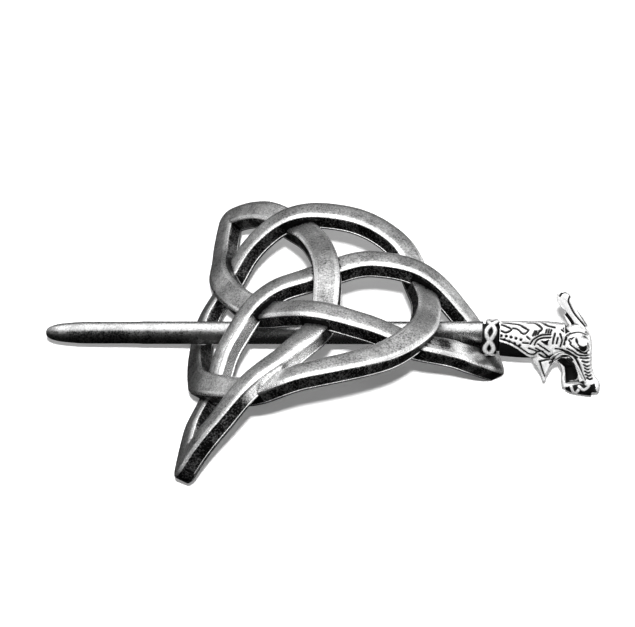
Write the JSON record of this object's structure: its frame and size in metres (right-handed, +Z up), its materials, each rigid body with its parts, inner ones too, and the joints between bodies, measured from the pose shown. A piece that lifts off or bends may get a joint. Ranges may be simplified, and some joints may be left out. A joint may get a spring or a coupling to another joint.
{
  "type": "fibula brooch",
  "caption": "Openwork Celtic-knot brooch, a bent triquetra woven with a ring, with a loose straight stick pin that ends in a dragon head.",
  "frame": {"origin": "on the ground, under the centre of the whole object's bounding box", "axes": "+X along the pin in plan, from its point towards the dragon head; +Y away from the viewer of the picture; +Z up from the ground that the plate stands on"},
  "size_m": [0.123, 0.0916, 0.0252],
  "materials": {
    "knot_silver": "antique silver, satin top with polished bevels and blackened sides",
    "pin_silver": "polished, a little mottled at the point",
    "head_silver": "bright cast silver with blackened hollows"
  },
  "bodies": {
    "plate": {"knot": "knot_silver"},
    "pin": {"pin_shaft": "pin_silver", "pin_collar": "head_silver", "dragon_head": "head_silver"}
  },
  "joints": [
    {"name": "pin_slide", "type": "slide", "parent": "plate", "child": "pin", "axis": [0.9988, 0, 0.0492], "range_m": [0, 0.103]}
  ]
}
